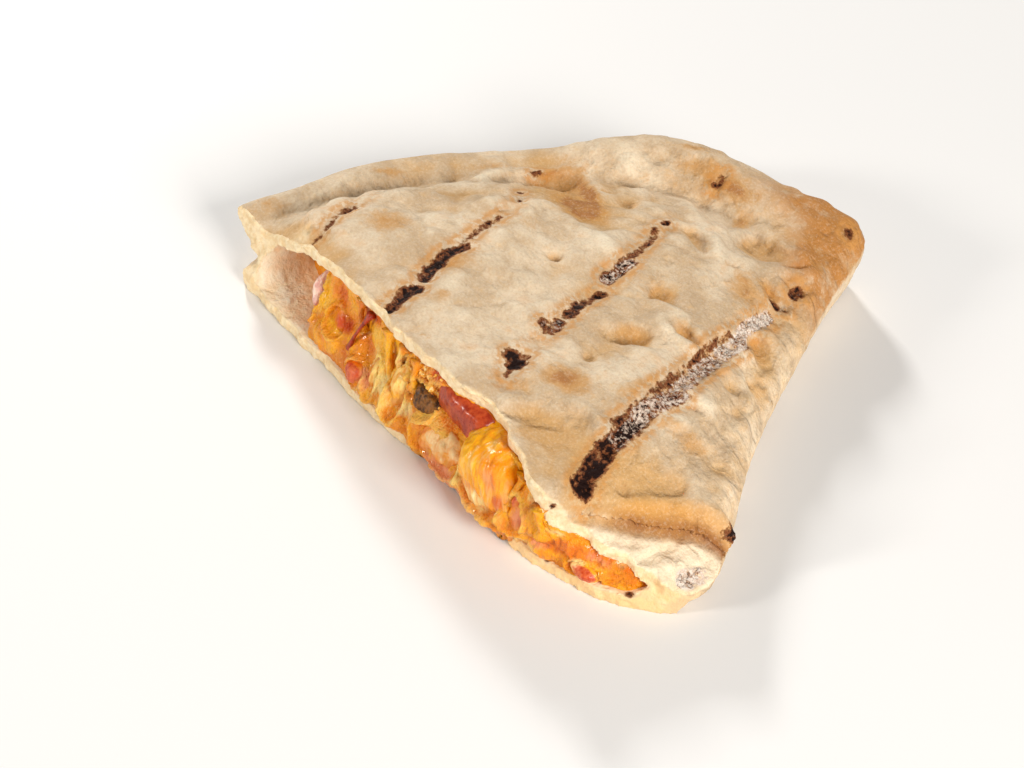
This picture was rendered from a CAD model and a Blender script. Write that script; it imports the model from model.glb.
import math

import bmesh
import bpy
import numpy as np
from mathutils import Euler, Matrix, Vector, noise


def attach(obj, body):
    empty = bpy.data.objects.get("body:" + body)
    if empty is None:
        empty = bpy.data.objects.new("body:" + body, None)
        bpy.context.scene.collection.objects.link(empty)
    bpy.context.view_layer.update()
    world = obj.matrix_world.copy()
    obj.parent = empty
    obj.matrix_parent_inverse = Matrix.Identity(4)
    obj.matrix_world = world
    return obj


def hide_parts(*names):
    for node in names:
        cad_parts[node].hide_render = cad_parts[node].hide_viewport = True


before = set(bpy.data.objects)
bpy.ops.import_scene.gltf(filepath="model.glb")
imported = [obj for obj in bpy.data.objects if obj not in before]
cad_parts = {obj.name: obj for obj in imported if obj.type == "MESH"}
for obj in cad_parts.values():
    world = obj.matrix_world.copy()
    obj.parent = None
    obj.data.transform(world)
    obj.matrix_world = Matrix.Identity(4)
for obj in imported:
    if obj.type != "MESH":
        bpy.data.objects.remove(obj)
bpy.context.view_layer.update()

# The camera looks at the cut from its folded end, as the photograph does. Plan sizes below are
# millimetres from the middle of the cut edge, with y to the back of the pocket and z up.
MM = 0.001
LENS = 85.0
SENSOR = 36.0
VIEW_AZIMUTH = 50.0
VIEW_HEIGHT = 43.0
VIEW_ROLL = 6.0
VIEW_DISTANCE = 514.6
VIEW_TARGET = (8.0, 30.75, 9.78)
# Where the target falls in the picture, as a share of its width from the middle.
TARGET_OFFSET = (38.0 / 1024, 9.0 / 1024)
# The middle of the CAD box in plan, seen from the middle of the cut edge.
CENTRE = (0.45, 56.95)


def row_place(x, y, z):
    """A point in plan millimetres as a point of the row frame."""
    return Vector(((x - CENTRE[0]) * MM, (y - CENTRE[1]) * MM, z * MM))


def aim_camera():
    """Sets up the view of the photograph."""
    turn, height, roll = (math.radians(a) for a in (VIEW_AZIMUTH, VIEW_HEIGHT, VIEW_ROLL))
    level = math.cos(height)
    back = Vector((math.sin(turn) * level, -math.cos(turn) * level, math.sin(height)))
    right = back.cross(Vector((0, 0, -1))).normalized()
    up = back.cross(right)
    c, s = math.cos(roll), math.sin(roll)
    right, up = (c * right + s * up, c * up - s * right)
    step = VIEW_DISTANCE * MM * SENSOR / LENS
    place = row_place(*VIEW_TARGET) + back * VIEW_DISTANCE * MM
    place -= right * TARGET_OFFSET[0] * step
    place -= up * TARGET_OFFSET[1] * step
    camera = bpy.data.objects.new("camera", bpy.data.cameras.new("camera"))
    camera.data.lens = LENS
    camera.data.sensor_width = SENSOR
    camera.data.clip_start = 0.01
    camera.matrix_world = Matrix.Translation(place) @ Matrix((right, up, back)).transposed().to_4x4()
    bpy.context.scene.collection.objects.link(camera)
    bpy.context.scene.camera = camera


aim_camera()

# The bread is one round of soft flatbread, pinched shut along its edge, folded over and grilled.
# Its wall is about 3 mm thick. The shape is a skin over the plan: a pinched rim on the left and
# at the back, a rounded fold on the right, and a low flap where the fold meets the cut.
WALL = 3.2
DOME_HEIGHT = 26.2
OUTLINE = [
    (-69.6, 0.8), (-69.4, 6), (-68, 16), (-66, 27), (-62.5, 45), (-56.5, 61), (-50.8, 76),
    (-43.2, 88.8), (-35.6, 97), (-26.4, 102.6), (-11, 110), (0.5, 115.6), (8.0, 118), (13.4, 115.8),
    (17, 109), (22, 98), (32, 80), (42, 63), (52, 49), (61, 38.5), (67, 31), (70.2, 25), (70.4, 21),
]
HOLLOW = [
    (-56.3, -1), (-54.5, 8), (-53.2, 15), (-54, 24), (-52.5, 34), (-46.5, 43), (-40, 50),
    (-38.5, 58), (-39.5, 69), (-37, 78), (-31, 83), (-20, 83.5), (-8, 84), (0, 87), (5, 92.5),
    (10, 96), (15, 95), (21, 88), (29, 75.5), (39, 59), (48.5, 45.5), (57, 35), (62, 28),
    (64, 22), (64, 15), (63.5, 8),
]
UPPER_EDGE = [
    (-70, 0.3), (-60, 0.3), (-40, 1.3), (-20, 1.0), (0, 0.6), (14, 1.2), (20, 3.9), (27, 4.3),
    (31, 1.9), (37, 1.4), (41, -0.6), (45.5, -0.4), (49, 3.8), (52, 7.0), (54.5, 8.8), (57, 11.0),
    (59.5, 12.8), (62, 13.8), (65, 14.6), (68, 16.0), (70, 18.4),
]
LOWER_EDGE = [
    (-62, -3.4), (-50, -3.9), (-35, -3.7), (-20, -3.2), (-3, -2.8), (3, -1.4), (8, 1.0), (32, 1.0),
    (38, 0.2), (47, 2.2), (57, 6.6), (64, 11.3), (68, 15.6), (70, 19),
]
# Height of the outer skin across the rim. A row is a point of the outline by number, its
# distance from the crease, and heights at RIM_STEPS parts of that distance.
RIM_STEPS = [0, 0.09, 0.28, 0.5, 0.75, 1.0, 1.32, 1.7, 2.2]
RIM = [
    (0, 13.5, 12.8, 15.2, 16.2, 16.2, 15.4, 15.0, 17.0, 20.6),
    (1, 13.4, 12.8, 15.0, 16.0, 16.2, 15.6, 16.2, 19.4, 22.6),
    (2, 13.0, 12.9, 15.2, 16.4, 16.6, 16.0, 18.8, 22.8, 24.8),
    (3, 12.5, 14.6, 18.0, 19.8, 20.0, 17.4, 20.6, 23.8, 25.0),
    (4, 14.0, 13.6, 16.6, 18.4, 18.8, 17.2, 19.8, 23.6, 25.0),
    (5, 15.5, 13.0, 15.6, 17.4, 18.2, 16.8, 16.4, 20.4, 24.4),
    (6, 13.0, 12.4, 14.2, 15.8, 16.4, 16.0, 16.0, 19.0, 22.4),
    (7, 12.0, 13.4, 17.8, 20.1, 20.6, 18.4, 15.8, 18.8, 21.6),
    (9, 15.0, 14.0, 19.6, 23.2, 24.0, 20.6, 15.6, 18.4, 21.4),
    (10, 20.0, 13.4, 18.4, 21.6, 22.4, 20.2, 15.4, 18.6, 21.6),
    (12, 19.0, 12.8, 17.4, 20.4, 21.2, 20.2, 17.0, 19.4, 22.0),
    (14, 14.0, 10.0, 14.0, 17.2, 19.2, 20.4, 20.8, 21.6, 22.8),
    (16, 12.5, 8.2, 11.4, 14.4, 16.8, 19.0, 20.8, 22.4, 23.6),
    (18, 12.0, 8.0, 11.6, 14.6, 16.8, 18.8, 20.4, 22.0, 23.6),
    (19, 12.0, 8.4, 12.4, 15.8, 17.6, 18.8, 19.8, 21.2, 23.0),
    (20, 11.0, 8.2, 12.6, 16.0, 17.4, 18.4, 19.4, 20.8, 22.8),
    (21, 10.0, 8.0, 12.2, 15.4, 17.0, 18.0, 19.0, 20.6, 22.6),
    (22, 10.0, 8.0, 12.0, 15.0, 16.6, 17.8, 18.8, 20.4, 22.6),
]
# The side below the widest line as (inset, height), from the upper lip through the seam to the
# lower lip and the flat underside.
SIDE = [
    (0, (0.6, 11.0), (5.5, 10.3), (12.0, 8.7), (9.3, 6.6), (8.2, 3.4), (8.6, 1.3), (9.8, 0.3), (12.5, 0)),
    (4, (0.6, 10.8), (3.0, 10.0), (6.5, 8.6), (4.8, 6.6), (4.0, 3.4), (4.4, 1.3), (5.6, 0.3), (8.5, 0)),
    (7, (0.5, 10.8), (1.8, 9.8), (4.0, 8.5), (3.0, 6.6), (2.6, 3.4), (3.0, 1.3), (4.2, 0.3), (7.0, 0)),
    (10, (0.4, 10.8), (1.2, 9.6), (2.8, 8.4), (2.2, 6.6), (1.9, 3.4), (2.3, 1.3), (3.5, 0.3), (6.0, 0)),
    (12, (0.2, 9.8), (0.6, 8.6), (1.2, 7.4), (1.2, 6.0), (1.4, 3.2), (1.9, 1.3), (3.2, 0.3), (6.0, 0)),
    (16, (0.1, 7.0), (0.2, 6.0), (0.4, 5.0), (0.7, 3.9), (1.2, 2.7), (2.0, 1.4), (3.3, 0.5), (6.0, 0)),
    (22, (0.1, 4.4), (0.2, 3.9), (0.4, 3.3), (0.7, 2.6), (1.1, 1.9), (1.6, 1.1), (2.3, 0.4), (3.6, 0)),
]
FLAP_CREASE = [
    (47.6, -6), (49, 3), (50.6, 8.4), (53, 12.6), (56, 17), (58.7, 21.6), (61.2, 26), (64.2, 29),
    (68, 31), (74, 33.6), (82, 37),
]
FLAP_PLANE = (15.5, 51.0, 8.0, -0.5, 0.0)
ROLL_WIDTH = 6.0
# Crests and creases of the upper skin as (points, width, height), then round hollows and
# swellings as (x, y, half length, half width, turn in degrees, height).
RIDGES = [
    ([(-43.3, 1.8), (-47.3, 5.8), (-48.4, 9.6), (-49.9, 14.9), (-47.6, 18.6), (-44.8, 24.9),
      (-42.1, 31.2), (-39.5, 32.7), (-35.7, 34.4), (-31.3, 40.0), (-29.3, 44.1), (-26.6, 47.7),
      (-24.6, 51.9), (-22.8, 53.4), (-17.1, 53.5), (-10.1, 54.8), (-5.0, 54.8)], 2.4, 1.0),
    ([(-47.0, 50.1), (-45.9, 56.8), (-43.8, 62.8), (-41.9, 67.8), (-39.2, 71.1), (-33.8, 72.2),
      (-24.1, 67.1)], 2.2, 1.6),
    ([(-20.0, 28.2), (-15.4, 28.6), (-10.5, 29.4)], 2.2, 0.7),
    ([(-14.1, 31.0), (-8.7, 31.4), (-3.9, 29.5)], 1.4, 0.4),
    ([(-33.9, 82.9), (-29.2, 84.3), (-24.5, 85.6), (-18.8, 85.8), (-11.3, 83.4), (-3.9, 81.7),
      (-0.4, 82.5)], 2.6, 1.3),
    ([(-6.6, 69.0), (-7.4, 73.9), (-6.1, 77.1), (-2.5, 78.8), (1.9, 78.3), (6.4, 75.3)], 1.8, 1.2),
    ([(0.6, 87.4), (0.7, 92.9), (5.1, 94.4), (9.5, 94.1), (13.9, 95.9), (16.2, 96.5)], 2.0, 1.4),
    ([(16.6, 87.7), (17.6, 93.0), (19.5, 95.7), (20.7, 97.9)], 1.6, 0.8),
    ([(14.1, 89.2), (15.8, 94.5)], 0.8, -0.6),
    ([(15.2, 97.9), (18.4, 97.5), (19.7, 95.9)], 1.4, -0.9),
    ([(13.9, 39.0), (16.1, 43.4), (19.4, 47.3), (23.5, 50.2), (27.5, 51.5)], 1.6, 1.0),
    ([(18.9, 49.2), (19.7, 53.1), (23.0, 55.1), (26.5, 55.2)], 1.5, 0.8),
    ([(13.2, 53.2), (17.3, 55.0), (20.1, 56.2)], 1.4, 0.7),
    ([(34.1, 55.8), (35.3, 58.1), (38.0, 59.9), (42.7, 58.9)], 1.5, 0.9),
    ([(36.9, 43.2), (41.0, 44.7), (45.6, 46.1), (49.2, 45.9)], 1.6, 0.9),
    ([(41.4, 32.7), (44.1, 37.6), (48.4, 41.5), (52.7, 44.4)], 1.6, 0.8),
    ([(27.2, 70.9), (29.3, 74.5), (32.8, 75.2), (35.1, 73.6)], 1.8, 0.8),
    ([(22.4, 4.9), (23.0, 8.5), (24.9, 11.3), (25.7, 15.7), (28.8, 17.1), (33.5, 19.5),
      (39.9, 20.0)], 1.8, 0.9),
    ([(-47, 39.7), (-46, 50.3), (-44.8, 58.1), (-41.1, 67.5)], 2.2, 0.8),
    ([(24, 72), (30, 64), (37, 55), (44, 46)], 3.0, 0.5),
    ([(33, 69), (40, 57), (47, 47), (54, 38)], 2.2, -0.7),
]
SWELLS = [
    (52, 18, 10, 7, 60, -3.4),
    (-46, -1, 9, 7, 0, -5.5), (-34.6, 65.2, 15.8, 9.1, -10, -2.6), (-39.4, 40.4, 7.3, 5.5, 42, -1.0),
    (-9.3, 43.2, 2.2, 1.0, 47, -0.9), (-3.6, 18.2, 1.6, 1.0, 34, -0.8),
    (-31.4, 15.7, 6.6, 4.3, 64, 0.8), (-13.4, 19.7, 7.3, 3.8, 108, 0.8),
    (-33.8, 79.0, 9.0, 6.0, -14, 1.0), (-19.4, 72.0, 2.1, 2.5, 49, -1.4),
    (-0.4, 76.6, 7.1, 2.6, -21, -1.9), (6.9, 90.8, 8.1, 5.9, -8, -2.2), (19.2, 81.2, 2.6, 1.8, 3, -1.6),
    (12.1, 56.4, 2.3, 3.0, 39, -1.4), (18.6, 42.6, 4.3, 3.3, 37, -2.2),
    (23.8, 53.3, 2.9, 2.0, 12, -1.6), (11.2, 78.0, 2.0, 1.1, 69, -0.9), (18.3, 93.7, 2.0, 1.4, 59, 0.9),
    (21.5, 96.7, 3.9, 1.7, -16, 0.9), (20.5, 89.4, 2.6, 2.1, 62, -1.0),
    (30.2, 69.8, 3.6, 2.2, -18, -1.6), (37.0, 55.4, 1.6, 2.5, 1, -1.3),
    (37.2, 61.2, 1.5, 1.1, -8, -1.1), (40.8, 41.9, 1.4, 1.0, 44, -1.2),
    (44.5, 46.3, 1.6, 2.0, -8, -1.2), (50.4, 16.5, 1.4, 1.0, 36, -1.3),
    (53.4, 27.9, 2.0, 2.4, 28, -1.2), (20.5, 30.0, 1.3, 1.1, 25, -0.8),
    (-9.1, 42.5, 1.7, 0.8, 44, -0.7), (57.4, 34.8, 1.9, 1.9, 41, -1.0),
    (41.7, 53.1, 1.3, 1.9, 12, -0.8), (34.5, 11.0, 9.0, 6.8, 12, -1.5), (33.5, 15, 6, 3, 0, 0.4),
    (-40, 17, 8, 7, 20, 0.5), (6, 22, 10, 12, 0, 0.5), (-22, 13, 9, 8, 0, 0.4), (-5, 55, 6, 5, 0, 0.5),
]
# Grill marks as (points, half width, depth of char from 0 to 1, share of pale ash).
MARKS = [
    ([(-43.3, 1.8), (-43.2, 3.7), (-43.7, 6.6), (-45.3, 10.8)], 0.55, 0.5, 0),
    ([(-45.8, 12.1), (-45.9, 14.1), (-45.8, 15.6)], 0.7, 0.75, 0),
    ([(-13.2, 2.6), (-13.5, 4.8)], 1.3, 1.0, 0.05),
    ([(-14.3, 6.4), (-14.7, 8.7), (-14.6, 10.7)], 1.6, 1.15, 0),
    ([(-17.4, 14.5), (-19.0, 17.4), (-20.2, 20.8)], 1.5, 1.05, 0.1),
    ([(-20.7, 21.2), (-21.2, 24.7), (-20.8, 27.1)], 1.4, 1.0, 0.05),
    ([(-22.4, 27.7), (-23.4, 31.6), (-24.9, 36.5), (-25.6, 40.3)], 0.8, 0.5, 0),
    ([(-25.5, 37.2), (-25.7, 37.9)], 0.5, 0.9, 0),
    ([(-25.8, 39.6), (-25.9, 40.4)], 0.6, 1.0, 0),
    ([(-33.5, 52.0), (-33.1, 51.7)], 0.6, 0.9, 0),
    ([(-29.2, 48.4), (-28.7, 48.1)], 0.6, 0.9, 0),
    ([(-42.8, 63.3), (-42.8, 65.0)], 0.8, 0.7, 0),
    ([(-5.8, 68.4), (-3.1, 64.5), (-1.2, 59.5), (-0.2, 56.0)], 0.9, 0.6, 0),
    ([(-2.5, 63.8), (-2.8, 64.4)], 0.8, 0.85, 0),
    ([(0.5, 56.0), (1.2, 52.6), (1.6, 49.0)], 1.6, 0.85, 0.3),
    ([(5.0, 45.3), (5.5, 41.6), (6.6, 37.5), (8.0, 33.8)], 1.2, 0.75, 0.1),
    ([(5.1, 45.0), (5.5, 42.2)], 0.6, 1.0, 0),
    ([(-7.0, 72.0), (-7.1, 72.7)], 0.9, 0.95, 0),
    ([(-15.0, 94.1), (-15.2, 95.3)], 1.2, 0.75, 0),
    ([(12.0, 110.7), (11.6, 111.6)], 1.0, 0.75, 0),
    ([(21.0, 86.9), (20.5, 89.2)], 1.1, 0.8, 0.1),
    ([(21.1, 80.7), (22.0, 81.2)], 1.0, 0.95, 0),
    ([(22.4, 82.1), (23.3, 82.9)], 0.8, 0.5, 0.2),
    ([(47.2, 8.6), (46.2, 10.4), (44.6, 13.0), (42.7, 17.5)], 2.2, 1.45, 0),
    ([(42.3, 19.7), (41.3, 23.5), (40.2, 27.2)], 2.0, 1.1, 0.25),
    ([(39.0, 28.7), (37.9, 33.0), (37.1, 37.7), (36.9, 40.8)], 2.1, 1.0, 0.5),
    ([(35.6, 42.4), (33.6, 47.0), (31.7, 52.2), (31.0, 55.9)], 1.8, 0.8, 0.6),
    ([(30.2, 57.1), (29.3, 61.5), (28.2, 66.1)], 1.8, 0.7, 0.7),
    ([(27.1, 66.7), (25.6, 70.8), (24.0, 77.4)], 1.4, 0.6, 0.75),
    ([(38.4, 22.7), (37.6, 27.5), (35.3, 35.0), (33.4, 40.6), (31.1, 49.1), (28.4, 56.1),
      (27.0, 63.2)], 1.0, 0.6, 0),
    ([(8.3, 27.6), (9.5, 28.7), (9.3, 30.5)], 1.5, 0.9, 0.2),
    ([(10.0, 26.6), (10.8, 27.7)], 0.8, 0.6, 0),
    ([(13.0, 15.7), (14.5, 15.9), (15.1, 14.8)], 1.9, 0.9, 0.05),
    ([(13.4, 16.6), (14.7, 18.2)], 0.7, 0.9, 0),
    ([(15.2, 14.1), (16.8, 11.5)], 0.7, 0.7, 0),
]
# Lines where the bars of the grill pressed the dough in, charred or not.
PRESSED = [
    [(-42.9, 0.5), (-43.7, 6.6), (-45.9, 14.1), (-47.5, 20)],
    [(-12.6, 0), (-14.5, 8.7), (-20.2, 20.8), (-22.4, 27.7), (-25.6, 40.3), (-29, 48), (-33.5, 52)],
    [(17.5, 9.5), (14, 16), (9.5, 29), (6.6, 37.5), (5, 45.3), (1.6, 49), (-0.2, 56), (-5.8, 68.4),
     (-7, 72.5)],
    [(47.2, 8.6), (44.6, 13), (42.3, 19.7), (40.2, 27.2), (37.1, 37.7), (33.6, 47), (30.2, 57.1),
     (27.1, 66.7), (24, 77.4), (21.5, 84)],
]
# Scorched spots on the folded corner and the lips, as (x, y, z, radius, strength, share of ash).
SPOTS = [
    (64.6, 32.8, 11.1, 2.4, 1.0, 0.1), (64.2, 34.8, 7.4, 2.2, 0.9, 0.2), (67.7, 20.3, 7.1, 2.4, 0.6, 0.8),
    (68.1, 23.2, 6.9, 2.0, 0.6, 0.7), (62.5, 11.0, 3.9, 1.1, 1.0, 0), (47.2, 4.1, 20.9, 0.7, 0.9, 0),
    (47.0, 1.4, 20.2, 0.8, 0.9, 0), (46.1, 2.0, 3.2, 0.8, 1.0, 0),
]
# Toasted patches: (x, y, half length, half width, turn in degrees, strength).
TOAST = [
    (-35.9, 17.8, 6.2, 4.0, 58, 0.9), (-16.9, 22.8, 6.0, 3.4, 104, 0.85),
    (-9.2, 13.5, 2.3, 2.1, 58, 0.9), (-20.7, 44.5, 5.1, 2.8, 25, 0.5), (-58.2, 33.0, 3.7, 1.4, 63, 0.8),
    (-65.7, 32.5, 2.5, 0.8, 79, 0.9), (-48.7, 55.9, 5.9, 1.7, 72, 0.7),
    (-42.3, 65.2, 3.4, 0.8, 68, 1.2), (-38.1, 70.4, 7.0, 4.0, -20, 0.8),
    (-29.4, 68.0, 7.5, 1.1, -28, 0.8), (-20.4, 60.3, 6.8, 4.5, 3, 0.85),
    (-33.8, 62.2, 7.1, 6.6, 1, 0.5), (-2.5, 2.0, 8.3, 3.7, 108, 0.4), (-22.8, 60.1, 7.2, 5.8, 16, 0.8),
    (-27.3, 66.5, 5.3, 1.7, -16, 0.7), (-19.5, 72.4, 1.7, 2.5, 33, 0.35),
    (-14.9, 94.2, 3.2, 1.5, 15, 1.1), (-10.1, 96.0, 4.3, 2.1, 3, 0.8), (-3.6, 92.4, 2.1, 1.9, 17, 0.9),
    (-20.3, 94.0, 7.2, 1.2, 33, 0.5), (-25.5, 95.6, 3.9, 1.1, 38, 0.75),
    (11.6, 111.7, 1.9, 1.0, 89, 1.0), (16.9, 98.6, 2.1, 2.9, -7, 0.55), (18.9, 81.1, 2.6, 1.7, 3, 1.0),
    (18.0, 74.9, 4.1, 3.8, -12, 0.75), (12.4, 56.2, 3.0, 3.1, 25, 0.6), (6.5, 54.2, 5.9, 4.7, 15, 0.4),
    (19.1, 43.3, 3.6, 1.7, 28, 0.75), (23.6, 53.5, 2.9, 2.0, 11, 0.8),
    (-0.1, 76.4, 6.1, 2.0, -22, 0.45), (7.1, 90.1, 6.9, 5.3, -6, 0.3), (20.6, 88.4, 2.7, 1.4, 74, 0.7),
    (-9.9, 76.1, 2.4, 3.4, 33, 0.5), (16.1, 75.8, 8.3, 9.1, 22, 0.3), (30.3, 69.4, 4.0, 2.3, -17, 0.7),
    (29.2, 73.9, 3.9, 2.9, 36, 0.5), (24.3, 23.2, 6.5, 3.6, 18, 0.6), (23.0, 18.6, 4.8, 2.5, 30, 0.5),
    (47.2, 35.9, 4.3, 2.7, 48, 0.75), (41.4, 32.7, 4.2, 2.0, 55, 0.6), (33.5, 31.7, 7.0, 1.7, 100, 0.5),
    (32.4, 36.1, 4.9, 1.4, 92, 0.45), (33.2, 59.1, 2.3, 2.4, 26, 0.4), (45.1, 52.9, 2.6, 2.3, 22, 0.35),
    (30.7, 6.4, 2.7, 2.6, 58, 0.35), (34.5, 11.0, 8.5, 6.7, 10, 0.3), (20.2, 11.4, 3.8, 1.6, 67, 0.6),
    (24.3, 21.2, 4.9, 3.2, 19, 0.55), (30.9, 29.4, 3.6, 2.0, -3, 0.3), (-64, 6, 5, 3, 20, 0.55),
    (-57, 20, 14, 4, 80, 0.3), (60.5, 27, 6, 2.6, 60, 0.35), (53.5, 15.5, 7, 2.2, 58, 0.35),
    (57.5, 22, 5, 2.0, 60, 0.3), (-24, 90, 13, 6, 45, 0.3), (-6, 98, 14, 6, 30, 0.35),
    (-28, 100, 9, 3.6, 40, 0.5), (40, 62, 6, 3, -60, 0.4), (50, 47, 5, 3, -60, 0.35),
]
# Nicks in the cut edge of the upper sheet: (x, z, half length, half height, turn in degrees, depth).
NICKS = [(55.5, 10, 3.0, 9, 0, 1.0), (61.8, 10, 2.0, 9, 0, 0.8), (66, 12, 1.6, 9, 0, -0.6)]
# The lines of the cut as (left end, length): upper lip, lower lip, between them, mouth of the hollow.
UPPER_LINE = (-69, 138.6)
LOWER_LINE = (-61, 130.3)
MIDDLE_LINE = (-57.2, 126.2)
MOUTH_LINE = (-56.3, 119.8)
# How far the tool that makes the hollow reaches out past the cut.
MOUTH_REACH = 12.0
BREAD_SECTIONS = 250
BREAD_DEPTH_STEPS = 96
SKIN_STEP = 0.55
# Puffs of the dough flatten out above this height, against the upper plate of the grill.
PLATE_HEIGHT = 26.8
PLATE_GIVE = 0.9
# The puffs and dents of the dough never sink more than this below the smooth skin.
DEEPEST = 1.1


def smooth(edge0, edge1, value):
    """Eases from 0 at edge0 to 1 at edge1, which may be the lower of the two."""
    part = np.clip((value - edge0) / (edge1 - edge0), 0, 1)
    return part * part * (3 - 2 * part)


def curve(points, count):
    """A smooth path through points, sampled evenly by length."""
    pts = np.array(points, float)
    pts = np.vstack([2 * pts[0] - pts[1], pts, 2 * pts[-1] - pts[-2]])
    out = []
    for i in range(1, len(pts) - 2):
        for t in np.linspace(0, 1, 24, endpoint=False):
            p0, p1, p2, p3 = pts[i - 1:i + 3]
            out.append(0.5 * (2 * p1 + (p2 - p0) * t + (2 * p0 - 5 * p1 + 4 * p2 - p3) * t * t
                              + (3 * p1 - p0 - 3 * p2 + p3) * t ** 3))
    out.append(pts[-2])
    out = np.array(out)
    step = np.concatenate([[0], np.cumsum(np.linalg.norm(np.diff(out, axis=0), axis=1))])
    at = np.linspace(0, step[-1], count)
    return np.stack([np.interp(at, step, out[:, k]) for k in range(out.shape[1])], 1)


def inward(path):
    """Unit directions in plan, square to the path, toward the middle of the bread."""
    t = np.gradient(path, axis=0)
    n = np.stack([t[:, 1], -t[:, 0]], 1)
    return n / np.linalg.norm(n, axis=1, keepdims=True)


EDGE = curve(OUTLINE, 700)
EDGE_IN = inward(EDGE)
INNER = curve(HOLLOW, 400)


def along_edge(rows, column):
    """Spreads a value given at outline points over all of EDGE."""
    marks = [np.argmin(np.linalg.norm(EDGE - np.array(OUTLINE[row[0]]), axis=1)) for row in rows]
    return np.interp(np.arange(len(EDGE)), marks, [column(row) for row in rows])


RIM_DEPTH = along_edge(RIM, lambda row: row[1])
RIM_HEIGHT = np.stack([along_edge(RIM, lambda row, k=k: row[2 + k]) for k in range(8)], 1)
SIDE_STEPS = np.stack([
    np.stack([along_edge(SIDE, lambda row, k=k, m=m: row[1 + k][m]) for m in (0, 1)], 1)
    for k in range(8)], 1)
NOSE_HEIGHT = along_edge([(0, 8.6), (12, 8.4), (14, 7.0), (18, 6.8), (22, 5.6)], lambda row: row[1])


def in_batches(points, work, batch=6000):
    """Runs work on a few thousand points at a time, to keep its tables small."""
    parts = [work(points[i:i + batch]) for i in range(0, len(points), batch)]
    return [np.concatenate(column) for column in zip(*parts)]


def edge_blend(x, y, table, reach=3.0):
    """Distance to the outline, and a table along the outline averaged over its nearest part."""
    spacing = 2 * np.linalg.norm(EDGE[1] - EDGE[0])

    def work(flat):
        far = np.linalg.norm(flat[:, None, :] - EDGE[None, ::2, :], axis=2)
        near = far.min(1)
        soft = reach + 0.22 * near
        weight = np.exp(-(far - near[:, None]) / soft[:, None])
        mean = weight @ table[::2] / weight.sum(1, keepdims=True)
        straight = np.sqrt(2 * np.pi * np.maximum(near, 0.1) * soft) / spacing
        rounded = near - soft * np.log(np.maximum(weight.sum(1) / straight, 1))
        return near + (np.maximum(rounded, 0.6 * near) - near) * smooth(2, 9, near), mean

    near, mean = in_batches(np.stack([np.ravel(x), np.ravel(y)], 1), work)
    return near.reshape(np.shape(x)), mean.reshape(np.shape(x) + (table.shape[1],))


def path_distance(x, y, path):
    """Distance to a path, and the side of it (+ left, - right)."""
    def work(flat):
        away = flat[:, None, :] - path[None, :, :]
        far = np.linalg.norm(away, axis=2)
        k = np.clip(far.argmin(1), 1, len(path) - 2)
        t = path[k + 1] - path[k - 1]
        rel = flat - path[k]
        return far.min(1), np.sign(t[:, 0] * rel[:, 1] - t[:, 1] * rel[:, 0])

    found = in_batches(np.stack([np.ravel(x), np.ravel(y)], 1), work, 20000)
    return [part.reshape(np.shape(x)) for part in found]


def bumps(x, y, spots):
    """Sum of soft round or long spots."""
    total = np.zeros(np.shape(x))
    for cx, cy, long, wide, turn, height in spots:
        a = math.radians(turn)
        u = ((x - cx) * math.cos(a) + (y - cy) * math.sin(a)) / long
        v = (-(x - cx) * math.sin(a) + (y - cy) * math.cos(a)) / wide
        total = total + height * np.exp(-(u * u + v * v))
    return total


def relief(x, y):
    """Crests, creases, hollows and swellings of the upper skin."""
    high = 0.5 * np.sin(x * 0.11 + 0.7) * np.cos(y * 0.09 - 0.4) + 0.3 * np.sin(x * 0.23 - y * 0.17)
    for points, width, height in RIDGES:
        far = path_distance(x, y, curve(points, 60))[0]
        high = high + height * np.exp(-(far / width) ** 2)
    return high + bumps(x, y, SWELLS)


def upper_skin(x, y, set_back=0.0):
    """Height of the outer upper skin over a plan point; the roll may stand further back."""
    x = np.asarray(x, float)
    y = np.asarray(y, float)
    near, mean = edge_blend(x, y, np.column_stack([RIM_DEPTH, RIM_HEIGHT]))
    part = np.sqrt(near / mean[..., 0])
    knots = np.sqrt(np.array(RIM_STEPS))
    dome = DOME_HEIGHT - 1.6 * (x / 60) ** 2 - 2.2 * smooth(15, 90, y)
    rows = np.concatenate([mean[..., 1:], dome[..., None]], -1)
    slope = np.zeros_like(rows)
    slope[..., 1:-1] = (rows[..., 2:] - rows[..., :-2]) / (knots[2:] - knots[:-2])
    slope[..., 0] = (rows[..., 1] - rows[..., 0]) / (knots[1] - knots[0])
    k = np.clip(np.searchsorted(knots, part) - 1, 0, len(knots) - 2)
    wide = knots[k + 1] - knots[k]
    t = np.clip((part - knots[k]) / wide, 0, 1)
    pick = lambda table, j: np.take_along_axis(table, j[..., None], -1)[..., 0]
    z = (2 * t ** 3 - 3 * t ** 2 + 1) * pick(rows, k) + (t ** 3 - 2 * t ** 2 + t) * pick(slope, k) * wide
    z = z + (3 * t ** 2 - 2 * t ** 3) * pick(rows, k + 1)
    z = z + (t ** 3 - t ** 2) * pick(slope, k + 1) * wide
    z = z + relief(x, y) * smooth(0.5, 7, near)
    far, side = path_distance(x, y, curve(FLAP_CREASE, 120))
    base, x0, y0, gx, gy = FLAP_PLANE
    flap = base + gx * (x - x0) + gy * (y - y0)
    rolled = np.clip((far * side - set_back) / ROLL_WIDTH, 0, 1)
    share = np.sqrt(1 - (1 - rolled) ** 2)
    return np.minimum(z, flap) * (1 - share) + z * share


def grain(points, size, seed):
    """Smooth noise between about -1 and 1 at plan points, for a feature size in millimetres."""
    shift = Vector((seed * 7.31, seed * 3.17, seed * 5.53))
    return np.array([noise.noise(Vector(p) / size + shift) for p in points])


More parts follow.
